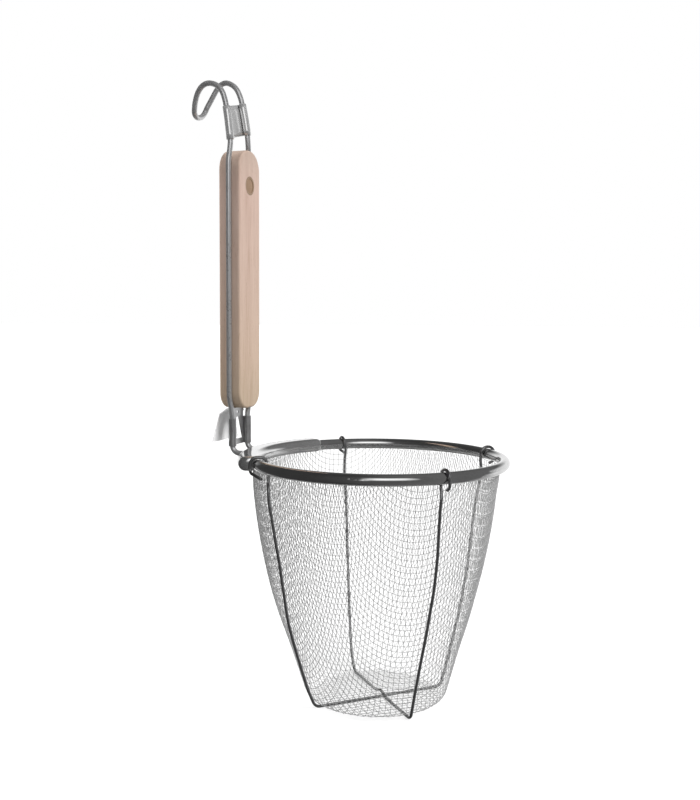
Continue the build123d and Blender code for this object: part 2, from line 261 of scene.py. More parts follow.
rim_steel = metal(
    "rim_polished", dark=grey(0.62), light=grey(0.72), rough=(0.07, 0.16),
    grain=500.0, bump_height=0.006, stretch=(1, 1, 6),
)
sleeve_steel = metal(
    "sleeve_polished", dark=grey(0.72), light=grey(0.84), rough=(0.06, 0.14),
    grain=500.0, bump_height=0.004, stretch=(1, 1, 6), metallic=0.95,
)
handle_steel = metal(
    "handle_drawn", dark=grey(0.57, 0.005), light=grey(0.68, 0.005), rough=(0.24, 0.36),
    grain=420.0, bump_height=0.002, stretch=(6, 6, 1), metallic=0.75,
)
rib_steel = metal(
    "rib_drawn", dark=grey(0.34, 0.005), light=grey(0.44, 0.005), rough=(0.26, 0.4),
    grain=500.0, bump_height=0.004, stretch=(3, 3, 1),
)
clip_steel = metal(
    "clip_sheet", dark=grey(0.66), light=grey(0.80), rough=(0.12, 0.22),
    grain=160.0, bump_height=0.002, stretch=(8, 8, 0.4), metallic=0.65,
)
# The bracket's sheet, its tongue painted paler as painted light
bracket_steel = metal(
    "bracket_sheet", dark=grey(0.46, 0.005), light=grey(0.58, 0.005), rough=(0.24, 0.36),
    grain=160.0, bump_height=0.002, stretch=(8, 8, 0.4), metallic=0.85, painted_light=bracket_painted_light,
)
# The cloth's wire, painted lighter inside and darker towards the handle as painted light and shade
cloth_steel = metal(
    "cloth_wire", dark=grey(0.60), light=grey(0.70), rough=(0.3, 0.45),
    grain=900.0, bump_height=0.003, metallic=0.5, painted_light=cloth_painted_light,
)

# Wood, its grain, flecks and clumps of flecks drawn out along the grip by the first three values
GRAIN_ALONG, FLECK_ALONG, CLUMP_ALONG = 0.055, 0.16, 0.3
BAND_SCALE, LINE_SCALE, FLECK_SCALE, CLUMP_SCALE = 170.0, 1100.0, 1500.0, 260.0
BAND_STOPS = (0.3, 0.52, 0.75)
BAND_HIGHLIGHT = 1.05
LINE_SHARE = 0.7
LINE_TONES = [(0.3, (0.86, 0.83, 0.80)), (0.55, grey(1.0))]
FLECK_EDGE, FLECK_STRENGTH, FLECK_DEPTH = (0.10, 0.24), 0.55, 1.2
CLUMP_EDGE = (0.42, 0.6)
WOOD_SHEEN = 0.35
WOOD_BUMP_STRENGTH = 0.25
WOOD_BUMP_HEIGHT = 0.06
# The grip's painted shade between two heights, darker and yellower at the bottom and darker at the top
PAINTED_SHADE_HEIGHTS = (156.0, 299.0)
PAINTED_SHADES = [
    (0.0, (0.83, 0.87, 0.76)),
    (0.2, (0.92, 0.93, 0.86)),
    (0.5, (0.96, 0.96, 0.94)),
    (0.85, (1.0, 0.99, 1.0)),
    (1.0, (0.86, 0.89, 0.88)),
]
# The ring painted on the scales round the dowel, from dowel colour out to a dark line of painted shadow
RING_WIDTH = 1.2
RING_FADE = 0.2
RING_TONES_AND_PAINTED_SHADOW = [(0.0, (0.32, 0.22, 0.145)), (0.45, (0.30, 0.21, 0.135)), (0.9, (0.17, 0.11, 0.075))]


def grip_painted_shade_and_ring(tree, colour):
    """Painted shade on the scales from bottom to top, and the ring round the dowel, dowel colour out to a
    dark line of painted shadow.
    """
    across, height = split_axes(tree, coords(tree))[1:]
    bottom, top = PAINTED_SHADE_HEIGHTS
    rise = map_range(tree, height, bottom * MM, top * MM, 0.0, 1.0)
    # Painted shade by height
    colour = mix_colour(tree, 1.0, colour, ramp(tree, rise, PAINTED_SHADES), "MULTIPLY")
    over = maths(tree, "SUBTRACT", height, DOWEL_HEIGHT * MM)
    squares = [maths(tree, "MULTIPLY", side, side) for side in (across, over)]
    away = maths(tree, "SQRT", maths(tree, "ADD", *squares))
    ring_end = (DOWEL_RADIUS + RING_WIDTH) * MM
    ring_share = map_range(tree, away, ring_end - RING_FADE * MM, ring_end, 1.0, 0.0)
    through_ring = map_range(tree, away, DOWEL_RADIUS * MM, ring_end, 0.0, 1.0)
    # Dowel colour next to the dowel, then a dark line of painted shadow at the ring's edge
    return mix_colour(tree, ring_share, colour, ramp(tree, through_ring, RING_TONES_AND_PAINTED_SHADOW))


def wood(name, light, dark, fleck_tone, rough, stretch=(1, 1, 1), painted_light=None):
    """Wood with faint growth bands, fine grain lines and short dark flecks that run up the handle."""
    material, tree, shader = new_material(name, light)
    x, y, z = stretch
    grain_place = coords(tree, (x, y, z * GRAIN_ALONG))
    bands = noise(tree, grain_place, BAND_SCALE, detail=3.0, rough=0.55, distortion=0.4)
    lines = noise(tree, grain_place, LINE_SCALE, detail=3.0, rough=0.6)
    highlight = tuple(channel * BAND_HIGHLIGHT for channel in light)
    tone = ramp(tree, bands, list(zip(BAND_STOPS, (dark, light, highlight))))
    colour = mix_colour(tree, LINE_SHARE, tone, ramp(tree, lines, LINE_TONES), "MULTIPLY")
    fleck_inputs = {"Vector": coords(tree, (x, y, z * FLECK_ALONG)), "Scale": FLECK_SCALE}
    cells = node(tree, "ShaderNodeTexVoronoi", fleck_inputs, feature="F1")
    flecks = map_range(tree, cells.outputs["Distance"], *FLECK_EDGE, FLECK_STRENGTH, 0.0)
    clumps = noise(tree, coords(tree, (1, 1, CLUMP_ALONG)), CLUMP_SCALE, detail=2.0)
    flecks = maths(tree, "MULTIPLY", flecks, map_range(tree, clumps, *CLUMP_EDGE, 0.0, 1.0))
    colour = mix_colour(tree, flecks, colour, fleck_tone)
    # Painted shade, and the dowel's ring with its painted shadow, go over the wood's colour where given
    if painted_light is not None:
        colour = painted_light(tree, colour)
    smooth, coarse = rough
    feed(tree, colour, shader.inputs["Base Color"])
    feed(tree, map_range(tree, lines, NOISE_LOW, NOISE_HIGH, coarse, smooth), shader.inputs["Roughness"])
    feed(tree, WOOD_SHEEN, shader.inputs["Specular IOR Level"])
    relief = maths(tree, "SUBTRACT", lines, maths(tree, "MULTIPLY", flecks, FLECK_DEPTH))
    bump(tree, shader, relief, WOOD_BUMP_STRENGTH, WOOD_BUMP_HEIGHT * MM)
    return material


# Beech scales, with painted shade by height and a painted shadow round the dowel
beech = wood(
    "beech", light=(0.585, 0.435, 0.362), dark=(0.53, 0.38, 0.31), fleck_tone=(0.30, 0.18, 0.12),
    rough=(0.42, 0.62), painted_light=grip_painted_shade_and_ring,
)
dowel_wood = wood(
    "dowel_end_grain", light=(0.33, 0.22, 0.145), dark=(0.28, 0.185, 0.12), fleck_tone=(0.14, 0.085, 0.05),
    rough=(0.5, 0.7), stretch=(0.2, 1, 18.0),
)

# The CAD nodes that stay
dress = {
    "rim_tube": rim_steel,
    "lower_bracket": bracket_steel,
    "inner_scale": beech,
    "outer_scale": beech,
    "dowel_pin": dowel_wood,
}
for name, material in dress.items():
    kept = nodes[name]
    if not kept.material_slots:
        kept.data.materials.append(material)
    for slot in kept.material_slots:
        slot.material = material

# Drawn pieces: a wire's section starts from a direction well off its own, for a level or a steep start
LEVEL_START, STEEP_START = (0.3, 0.2, 1.0), (1.0, 0.2, 0.1)
STEEP = 0.9
# An arc at a corner: the least turn it is made for, its steps, and the most of a run that it takes
SHORTEST_TURN = 0.02
ARC_STEP = math.radians(10)
ARC_ROOM = 0.49


def add_piece(name, mesh, material, node_name):
    """Put a drawn mesh in the scene in place of a CAD node."""
    piece = bpy.data.objects.new(name, mesh)
    scene.collection.objects.link(piece)
    piece.data.materials.append(material)
    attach(piece, "root")
    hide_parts(node_name)


def mesh_of(name, bm):
    """A mesh from a bmesh, with its faces turned outwards."""
    bmesh.ops.recalc_face_normals(bm, faces=bm.faces)
    mesh = bpy.data.meshes.new(name)
    bm.to_mesh(mesh)
    bm.free()
    return mesh


def unit_rows(rows):
    return rows / np.linalg.norm(rows, axis=1, keepdims=True)


def tangents(points):
    """The direction of a line of points at each of them."""
    return unit_rows(np.gradient(points, axis=0))


def polar(radius, angle, height):
    """A point from its radius, its angle round the cup's axis in degrees, and its height."""
    turn = math.radians(angle)
    return np.array([radius * math.cos(turn), radius * math.sin(turn), height])


def ring_of(bm, centre, radius, side, other, count):
    """A ring of vertices round a centre, in the plane of two directions."""
    turns = [FULL_TURN * k / count for k in range(count)]
    arms = [math.cos(turn) * side + math.sin(turn) * other for turn in turns]
    return [bm.verts.new((centre + radius * arm) * MM) for arm in arms]


def bridge(bm, low, high):
    """Smooth faces between two rings of vertices."""
    count = len(low)
    for k in range(count):
        j = (k + 1) % count
        bm.faces.new((low[k], low[j], high[j], high[k])).smooth = True


def wire_mesh(name, points, radius, sides):
    """A round wire with closed ends along a route, its section carried on without twist."""
    along_rows = tangents(points)
    steep = abs(along_rows[0][2]) >= STEEP
    side = np.cross(along_rows[0], STEEP_START if steep else LEVEL_START)
    bm = bmesh.new()
    rings = []
    for point, along in zip(points, along_rows):
        side = side - along * (side @ along)
        side /= np.linalg.norm(side)
        rings.append(ring_of(bm, point, radius, side, np.cross(along, side), sides))
    for low, high in zip(rings, rings[1:]):
        bridge(bm, low, high)
    bm.faces.new(rings[0][::-1])
    bm.faces.new(rings[-1])
    return mesh_of(name, bm)


def rounded(points, radii):
    """A route of points whose corners are turned into arcs of the given radii."""
    rows = [points[0]]
    for before, corner, after, radius in zip(points, points[1:], points[2:], radii):
        back, on = before - corner, after - corner
        room = min(np.linalg.norm(back), np.linalg.norm(on)) * ARC_ROOM
        back, on = back / np.linalg.norm(back), on / np.linalg.norm(on)
        angle = math.acos(max(-1.0, min(1.0, float(back @ on))))
        turn = math.pi - angle
        if turn < SHORTEST_TURN:
            rows.append(corner)
            continue
        radius = min(radius, room * math.tan(angle / 2))
        centre = corner + (back + on) / np.linalg.norm(back + on) * radius / math.sin(angle / 2)
        reach = radius / math.tan(angle / 2)
        start, end = corner + back * reach - centre, corner + on * reach - centre
        count = max(2, math.ceil(turn / ARC_STEP))
        for share in np.arange(count + 1) / count:
            mixed = math.sin((1 - share) * turn) * start + math.sin(share * turn) * end
            rows.append(centre + mixed / math.sin(turn))
    rows.append(points[-1])
    return np.array(rows)


# Woven cup, its outline given as radius and height from the floor's middle up to the hem
FLOOR_CENTRE = (0.0, 3.2)
FLOOR_EDGE = (33.0, 1.3)
WALL = [
    (39.2, 6.0), (45.81, 28.18), (52.97, 50.35), (58.68, 72.53),
    (62.71, 93.47), (65.12, 111.95), (66.4, 129.2),
]
CORNER_PULL = 1.1
CORNER_CUTS, WALL_CUTS = 16, 12
OUTLINE_STEP = 0.25
# The outline runs on past its top, so that crossings beyond it can be found, up to a margin
RUN_ON, RUN_MARGIN = 40.0, 1.0
# The cloth: its pitch and wires, how far it lies inside the outline, and where it ends
PITCH = 2.95
CLOTH_WIRE_RADIUS = 0.144
CLOTH_WIRE_SIDES = 5
CRIMP = 0.17
CLOTH_INSET = 0.36
CLOTH_TOP = 129.0
SPARE_WIRES = 2
# How the cloth was pressed: its stretch up the wall, how suddenly the wires crowd between the four
# straight sides, and how far the sides are turned round
WALL_STRETCH = 1.08
CROWDING = 0.6
WEAVE_TURN = math.radians(-50.0)
# A wire's section is set out from the axis and a little down, which also holds on the floor
SECTION_LEAN = (0.0, 0.0, -0.35)
# The wires' waves: their size, how they change along a wire and from one wire to the next
WAVE = 0.13
WAVE_FULL_RUN = 40.0
WAVE_SEED = 7
RUN_WAVE_SHARE, RUN_WAVE_ALONG, RUN_WAVE_PER_WIRE = 0.8, 0.11, 1.7
TURN_WAVE_RADIUS, TURN_WAVE_ALONG, TURN_WAVE_PER_WIRE = 55.0, 0.07, 2.3
# The crossings are found by damped Newton steps, none longer than these in run and turn
NEWTON_STEPS = 200
NEWTON_DAMPING = 0.4
NEWTON_SPAN = 1e-3
LEAST_SLOPE = 1e-6
LONGEST_RUN_STEP, LONGEST_TURN_STEP = 4.0, 0.1
# The cup sits a little to one side of its rim: the way it leans, and how far at each height
SIDEWAYS = np.array([-0.93, -0.367, 0.0])
SIDEWAYS_REACHES = [(0.0, 0.3), (60.0, 2.1), (115.0, 2.1), (CLOTH_TOP, 1.3)]


def sideways(points):
    """Points of the cup moved by how far it sits to one side at their height."""
    heights, reaches = zip(*SIDEWAYS_REACHES)
    return points + np.interp(points[:, 2], heights, reaches)[:, None] * SIDEWAYS


def hermite(start, start_pull, end, end_pull, count):
    """Points after the start, up to the end, on a curve that leaves and arrives by its pulls."""
    t = np.linspace(0, 1, count + 1)[1:, None]
    leaving = (2 * t**3 - 3 * t**2 + 1) * start + (t**3 - 2 * t**2 + t) * start_pull
    return leaving + (-2 * t**3 + 3 * t**2) * end + (t**3 - t**2) * end_pull


def run_along(radius, height):
    """How far each point of an outline is from its start, along it."""
    return np.concatenate([[0], np.cumsum(np.hypot(np.diff(radius), np.diff(height)))])


def outline():
    """The run, radius and height of the cloth's outline, from the floor's middle to past the hem."""
    centre, edge, wall = np.array(FLOOR_CENTRE), np.array(FLOOR_EDGE), np.array(WALL)
    first_rise = np.linalg.norm(wall[1] - wall[0])
    lean = (wall[1] - wall[0]) / first_rise
    level = (edge - centre) / np.linalg.norm(edge - centre)
    pull = np.linalg.norm(wall[0] - edge) * CORNER_PULL
    rows = [centre[None], edge[None], hermite(edge, level * pull, wall[0], lean * pull, CORNER_CUTS)]
    pulls = np.zeros_like(wall)
    pulls[1:-1] = (wall[2:] - wall[:-2]) / 2
    pulls[0] = lean * first_rise
    pulls[-1] = (0.0, np.linalg.norm(wall[-1] - wall[-2]))
    for k in range(len(wall) - 1):
        rows.append(hermite(wall[k], pulls[k], wall[k + 1], pulls[k + 1], WALL_CUTS))
    rows.append(wall[-1:] + (0.0, RUN_ON))
    radius, height = np.vstack(rows).T
    run = run_along(radius, height)
    even = np.arange(0, run[-1], OUTLINE_STEP)
    radius, height = np.interp(even, run, radius), np.interp(even, run, height)
    outwards, upwards = np.gradient(radius), np.gradient(height)
    size = np.hypot(outwards, upwards)
    radius = np.maximum(radius - CLOTH_INSET * upwards / size, 0)
    height = height + CLOTH_INSET * outwards / size
    return run_along(radius, height), radius, height


class Cloth:
    """Square wire cloth pressed into the cup, straight at four sides and in narrow diamonds between them.

    A point on it has a run, out from the floor's middle and up the wall, and a turn round the axis.
    """

    def __init__(self):
        self.run, self.radius, self.height = outline()
        wall = self.height > WALL[0][1]
        self.top = float(np.interp(CLOTH_TOP, self.height[wall], self.run[wall]))
        self.end = self.run[-1] - RUN_MARGIN

    def across(self, run, turn):
        """Distance in the cloth from one set's straight wire."""
        radius = np.interp(run, self.run, self.radius)
        floor_run = FLOOR_EDGE[0]
        flat = np.where(run < floor_run, run, floor_run + (run - floor_run) / WALL_STRETCH)
        q = np.clip(turn / QUARTER_TURN, 0, 1)
        sudden = 6 * q**5 - 15 * q**4 + 10 * q**3
        share = (1 - CROWDING) * np.sin(turn) ** 2 + CROWDING * sudden
        return radius * np.sin(turn) + (flat - radius) * share

    def crossings(self, u, v):
        """Run and turn where the wires of both sets cross, in the first quarter."""
        run, turn, h = np.hypot(u, v), np.arctan2(v, u), NEWTON_SPAN
        for _ in range(NEWTON_STEPS):
            run, turn = np.clip(run, 0, self.end), np.clip(turn, 0, QUARTER_TURN)
            rest = QUARTER_TURN - turn
            u_off, v_off = self.across(run, rest) - u, self.across(run, turn) - v
            u_run = (self.across(run + h, rest) - self.across(run - h, rest)) / (2 * h)
            v_run = (self.across(run + h, turn) - self.across(run - h, turn)) / (2 * h)
            u_turn = (self.across(run, rest - h) - self.across(run, rest + h)) / (2 * h)
            v_turn = (self.across(run, turn + h) - self.across(run, turn - h)) / (2 * h)
            slope = u_run * v_turn - u_turn * v_run
            slope = np.where(np.abs(slope) < LEAST_SLOPE, LEAST_SLOPE, slope)
            run_step = NEWTON_DAMPING * (u_off * v_turn - v_off * u_turn) / slope
            turn_step = NEWTON_DAMPING * (v_off * u_run - u_off * v_run) / slope
            run = run - np.clip(run_step, -LONGEST_RUN_STEP, LONGEST_RUN_STEP)
            turn = turn - np.clip(turn_step, -LONGEST_TURN_STEP, LONGEST_TURN_STEP)
        return np.clip(run, 0, self.end), np.clip(turn, 0, QUARTER_TURN)

    def place(self, run, turn, lift):
        """Points on the cup, lifted inwards from the cloth's middle."""
        outwards = np.interp(run, self.run, np.gradient(self.radius, self.run))
        upwards = np.interp(run, self.run, np.gradient(self.height, self.run))
        radius = np.interp(run, self.run, self.radius) - lift * upwards
        height = np.interp(run, self.run, self.height) + lift * outwards
        return np.stack([radius * np.cos(turn), radius * np.sin(turn), height], -1)


def first_quarter(u, v):
    """A crossing turned into the first quarter, and the quarter turns that take it back."""
    if u >= 0 and v >= 0:
        return u, v, 0
    if v >= 0:
        return v, -u, 1
    if u < 0:
        return -u, -v, 2
    return -v, u, 3


def stretches(rows, inside):
    """The unbroken stretches of rows that are inside, of two rows or more."""
    padded = np.concatenate([[0], inside.astype(int), [0]])
    edges = np.flatnonzero(np.diff(padded))
    return [rows[start:end] for start, end in zip(edges[::2], edges[1::2]) if end - start > 1]


def wire_rows(runs, turns, family, number, last):
    """Run, turn and lift at each half pitch along one wire, over and under the other set in turn."""
    rows = []
    for step in range(1 - 2 * last, 2 * last):
        u, v = (step, 2 * number) if family == 0 else (2 * number, step)
        a, b, quarters = first_quarter(u, v)
        over = (number + step // 2 + family) % 2 == 0
        lift = CRIMP if over else -CRIMP
        if step % 2 == 1:
            lift = 0.0
        rows.append((runs[a, b], turns[a, b] + quarters * QUARTER_TURN, lift))
    return np.array(rows)


def uneven(run, turn, number, run_phase, turn_phase):
    """A wire's points moved a little, since real wires are never quite even."""
    wave = WAVE * np.clip(run / WAVE_FULL_RUN, 0, 1)
    shift = np.sin(RUN_WAVE_ALONG * run + run_phase + number * RUN_WAVE_PER_WIRE)
    run = run + wave * shift * RUN_WAVE_SHARE
    swing = np.sin(TURN_WAVE_ALONG * run + turn_phase + number * TURN_WAVE_PER_WIRE)
    return run, turn + wave * swing / TURN_WAVE_RADIUS


def weave():
    """Lines of points for both sets of wires over the whole cup."""
    cloth = Cloth()
    last = int(cloth.top / PITCH) + SPARE_WIRES
    places = np.arange(2 * last + 1) * PITCH / 2
    runs, turns = cloth.crossings(*np.meshgrid(places, places, indexing="ij"))
    run_phases, turn_phases = np.random.default_rng(WAVE_SEED).uniform(0, FULL_TURN, (2, 2))
    lines = []
    for family in range(2):
        for number in range(-last, last + 1):
            rows = wire_rows(runs, turns, family, number, last)
            for stretch in stretches(rows, rows[:, 0] <= cloth.top):
                run, turn, lift = stretch.T
                run, turn = uneven(run, np.unwrap(turn), number, run_phases[family], turn_phases[family])
                lines.append(sideways(cloth.place(run, turn + WEAVE_TURN, lift)))
    return lines


def cloth_mesh(name, lines, radius, sides):
    """One mesh of open round wires along lines of points."""
    verts, faces, start = [], [], 0
    turns = np.linspace(0, FULL_TURN, sides, endpoint=False)[None, :, None]
    places = np.arange(sides)[None]
    for points in lines:
        count = len(points)
        along = tangents(points)
        out = points * (1.0, 1.0, 0.0)
        out = out / (np.linalg.norm(out, axis=1, keepdims=True) + TINY) + SECTION_LEAN
        side = unit_rows(np.cross(along, out))
        circle = np.cos(turns) * side[:, None] + np.sin(turns) * np.cross(side, along)[:, None]
        verts.append((points[:, None] + circle * radius).reshape(-1, 3))
        rings = start + np.arange(count - 1)[:, None] * sides
        low, low_next = rings + places, rings + (places + 1) % sides
        faces.append(np.stack([low, low_next, low_next + sides, low + sides], -1).reshape(-1, 4))
        start += count * sides
    verts, faces = np.vstack(verts) * MM, np.vstack(faces)
    mesh = bpy.data.meshes.new(name)
    mesh.vertices.add(len(verts))
    mesh.vertices.foreach_set("co", verts.ravel())
    mesh.loops.add(faces.size)
    mesh.loops.foreach_set("vertex_index", faces.ravel().astype(np.int32))
    mesh.polygons.add(len(faces))
    mesh.polygons.foreach_set("loop_start", np.arange(0, faces.size, 4, dtype=np.int32))
    mesh.polygons.foreach_set("use_smooth", np.ones(len(faces), bool))
    mesh.update(calc_edges=True)
    mesh.validate()
    return mesh


cup_mesh = cloth_mesh("woven_cup", weave(), CLOTH_WIRE_RADIUS, CLOTH_WIRE_SIDES)
add_piece("woven_cup", cup_mesh, cloth_steel, "mesh_basket")

# Rib wires
RIB_RADIUS = 0.8
RIB_SIDES = 10
RIB_STAND_OFF = 0.5
RIB_FLAT = 0.15
RIB_FOOT_RADIUS = 38.2
RIB_FOOT_BEND = 4.5
LEG_TOP = 122.0
LEG_POINTS = 45
LEG_SMOOTHING = 4
# The eye over the rim: its half width, its bends, how far each point lags towards the leg, and its tail
EYE_GAP, EYE_TUCK = 0.25, 0.2
EYE = RIM_TUBE_RADIUS + RIB_RADIUS + EYE_GAP
EYE_BENDS = [2.0, EYE - EYE_TUCK, EYE - EYE_TUCK, 2.5]
EYE_LAGS = [0.35, 0.1, 0.0, 0.0, 0.6]
EYE_ENTRY = EYE * 0.1
TAIL_OUT, TAIL_DROP = RIB_RADIUS * 2.5, RIB_RADIUS * 2
# The upper rib is cranked over the lower one: places along it from its middle, and the lift there
UPPER_RIB = "rib_wire_two"
CRANK_GAP = 0.15
CRANK_LIFT = RIB_RADIUS * 2 + CRANK_GAP
CRANK = [(-7.0, 0.0), (-0.8, CRANK_LIFT), (0.8, CRANK_LIFT), (7.0, 0.0)]
CRANK_BEND = 3.0
# Each rib's two ends: the angle of its eye round the rim, and its leg as heights and angles
RIBS = {
    "rib_wire_one": [
        (-140.0, [
            (10, -128.6), (22, -129), (38, -127.5), (54, -124),
            (68, -121), (84, -120.3), (100, -121), (122, -123.6),
        ]),
        (43.5, [
            (10, 41), (28, 40.5), (45, 43), (65, 45),
            (80, 47), (92, 48.5), (106, 48), (122, 46),
        ]),
    ],
    "rib_wire_two": [
        (-41.5, [
            (10, -42.6), (21, -41.8), (41, -41.3), (62, -40.5),
            (83, -40.4), (110, -41.6), (122, -41.5),
        ]),
        (129.4, [(10, 130.0), (24, 129), (54, 126.2), (88, 125.4), (122, 126.2)]),
    ],
}


def rib_end(eye_angle, leg):
    """A foot's corner on the floor, and the route from above it to the end of the eye over the rim."""
    heights, angles = np.array(leg, float).T
    wall_radii, wall_heights = np.array(WALL).T
    height = np.linspace(heights[0], LEG_TOP, LEG_POINTS)
    angle = np.pad(np.interp(height, heights, angles), LEG_SMOOTHING, mode="edge")
    window = 2 * LEG_SMOOTHING + 1
    angle = np.convolve(angle, np.ones(window) / window, mode="valid")
    radius = np.interp(height, wall_heights, wall_radii) + RIB_RADIUS + RIB_STAND_OFF
    shaft = sideways(np.array([polar(*place) for place in zip(radius, angle, height)]))
    inner, outer, low, high = RIM_RADIUS - EYE, RIM_RADIUS + EYE, RIM_HEIGHT - EYE, RIM_HEIGHT + EYE
    places = [(inner, low + EYE_ENTRY), (inner, high), (outer, high), (outer, low)]
    places.append((RIM_RADIUS + TAIL_OUT, low - TAIL_DROP))
    lag = angle[-1] - eye_angle
    eye = [polar(out, eye_angle + lag * share, up) for (out, up), share in zip(places, EYE_LAGS)]
    foot = polar(RIB_FOOT_RADIUS, leg[0][1], RIB_RADIUS - RIB_FLAT)
    return foot, np.vstack([shaft, rounded([shaft[-1], *eye], EYE_BENDS)[1:]])


def rib_route(node_name, ends):
    """One rib from eye to eye, under the cup's floor."""
    (first_foot, first), (last_foot, last) = [rib_end(*end) for end in ends]
    along = (last_foot - first_foot) / np.linalg.norm(last_foot - first_foot)
    centre = (first_foot + last_foot) / 2
    crank = []
    if node_name == UPPER_RIB:
        crank = [centre + along * place + (0, 0, lift) for place, lift in CRANK]
    bends = [RIB_FOOT_BEND, *[CRANK_BEND] * len(crank), RIB_FOOT_BEND]
    base = rounded([first[0], first_foot, *crank, last_foot, last[0]], bends)
    return np.vstack([first[:0:-1], base, last[1:]])


for node_name, ends in RIBS.items():
    rib_mesh = wire_mesh(node_name + "_drawn", rib_route(node_name, ends), RIB_RADIUS, RIB_SIDES)
    add_piece(node_name + "_drawn", rib_mesh, rib_steel, node_name)

# Handle wire: its feet lie in the sleeve on a ring of their own, its legs spread below the grip
HANDLE_RADIUS = 1.5
HANDLE_SIDES = 20
LEG_Y, GRIP_Y = 9.1, 12.8
FOOT_RING = 72.3
FOOT_RUN = 15.0
SPREAD_START, SPREAD_END = 152.0, 163.0
STRAIGHT_TOP, HOOK_START = 291.0, 290.8
FOOT_BENDS = [3.8, 4.2, 14.0, 14.0]
HOOK_CUTS = 6
# The hook's strands are bent a little differently, the near one lower than the far one
NEAR_STRAND = [
    (-84.0, -12.4, 293.5), (-84.0, -11.0, 299.0), (-84.1, -10.3, 303.5), (-84.9, -10.2, 310.0),
    (-85.8, -10.2, 317.0), (-87.3, -10.2, 324.5), (-89.4, -10.2, 329.9), (-92.9, -10.2, 333.2),
    (-97.6, -10.1, 334.5), (-101.6, -9.7, 333.4), (-104.9, -8.9, 330.2), (-106.9, -8.2, 326.0),
    (-107.8, -7.6, 322.8),
]
CLOSED_END = [(-108.6, -6.4, 319.8), (-109.2, -3.4, 318.2), (-109.6, 0.4, 318.4), (-109.9, 4.4, 319.8)]
FAR_STRAND = [
    (-109.5, 6.9, 322.4), (-108.4, 7.4, 325.0), (-107.0, 8.0, 327.8), (-105.2, 8.6, 331.2),
    (-103.3, 9.1, 334.6), (-101.1, 9.7, 337.4), (-98.0, 10.1, 338.6), (-94.4, 10.2, 337.5),
    (-91.0, 10.2, 334.6), (-88.4, 10.2, 329.2), (-86.6, 10.2, 321.8), (-85.2, 10.2, 314.8),
    (-84.3, 10.2, 309.0), (-83.9, 10.4, 303.0), (-84.0, 11.2, 298.0), (-84.0, 12.5, 293.0),
]


def curve_through(points):
    """A smooth line through points."""
    points = np.array(points, float)
    padded = np.vstack([2 * points[0] - points[1], points, 2 * points[-1] - points[-2]])
    rows = []
    for a, b, c, d in zip(padded, padded[1:], padded[2:], padded[3:]):
        for t in np.linspace(0, 1, HOOK_CUTS, endpoint=False):
            bend = (2 * a - 5 * b + 4 * c - d) * t**2 + (3 * b - a - 3 * c + d) * t**3
            rows.append(0.5 * (2 * b + (c - a) * t + bend))
    rows.append(points[-1])
    return np.array(rows)


def handle_foot(side):
    """One leg, from its foot in the sleeve up to the top of the grip's straight run."""
    start = math.asin(LEG_Y / FOOT_RING)
    end = start + FOOT_RUN / FOOT_RING
    corners = [
        (-FOOT_RING * math.cos(end), FOOT_RING * math.sin(end), RIM_HEIGHT),
        (-FOOT_RING * math.cos(start), LEG_Y, RIM_HEIGHT),
        (HANDLE_X, LEG_Y, RIM_HEIGHT),
        (HANDLE_X, LEG_Y, SPREAD_START),
        (HANDLE_X, GRIP_Y, SPREAD_END),
        (HANDLE_X, GRIP_Y, STRAIGHT_TOP),
    ]
    return rounded([np.array((x, side * y, z)) for x, y, z in corners], FOOT_BENDS)[:-1]


hook_ends = [(HANDLE_X, side * GRIP_Y, HOOK_START) for side in (-1, 1)]
hook_line = curve_through([hook_ends[0], *NEAR_STRAND, *CLOSED_END, *FAR_STRAND, hook_ends[1]])
handle_line = np.vstack([handle_foot(-1), hook_line, handle_foot(1)[::-1]])
handle_mesh = wire_mesh("handle_wire_drawn", handle_line, HANDLE_RADIUS, HANDLE_SIDES)
add_piece("handle_wire_drawn", handle_mesh, handle_steel, "handle_wire")

# Upper clip, rolled round both strands
ROLL_RADIUS, SHEET = 2.15, 0.5
ROLL_SIDES = 20
NEAR_ROLL, FAR_ROLL = (303.6, 321.4), (308.8, 326.0)
ROLL_POINTS = 8
CLIP_HOLLOW = 1.6
CLIP_CUTS = 12
# The part of the hook's line that the rolls follow: its strands, before they turn over
STRAND_Y, STRAND_X, STRAND_MARGIN = 8.5, -92.0, 6.0


def strand_between(side, low, high):
    """Points on one strand of the hook's line between two heights."""
    x, y, z = hook_line.T
    near = (z > low - STRAND_MARGIN) & (z < high + STRAND_MARGIN)
    rows = hook_line[near & (y * side > STRAND_Y) & (x > STRAND_X)]
    across, along, up = rows[np.argsort(rows[:, 2])].T
    height = np.linspace(low, high, ROLL_POINTS)
    return np.stack([np.interp(height, up, across), np.interp(height, up, along), height], -1)


def sheet_between(bm, one, two, offset):
    """A thin sheet across two lines of points, moved along X by the offset and hollowed in its middle."""
    layers = []
    for level in (-0.5, 0.5):
        grid = []
        for a, b in zip(one, two):
            row = []
            for share in np.arange(CLIP_CUTS + 1) / CLIP_CUTS:
                depth = offset + level * SHEET - CLIP_HOLLOW * math.sin(math.pi * share)
                row.append(bm.verts.new((a + (b - a) * share + (depth, 0, 0)) * MM))
            grid.append(row)
        layers.append(grid)
    for grid in layers:
        for low, high in zip(grid, grid[1:]):
            for k in range(CLIP_CUTS):
                bm.faces.new((low[k], low[k + 1], high[k + 1], high[k])).smooth = True
    borders = []
    for grid in layers:
        sides = [row[-1] for row in grid[1:-1]], [row[0] for row in grid[-2:0:-1]]
        borders.append([*grid[0], *sides[0], *grid[-1][::-1], *sides[1]])
    back, front = [[*border, border[0]] for border in borders]
    for k in range(len(borders[0])):
        bm.faces.new((back[k], back[k + 1], front[k + 1], front[k]))


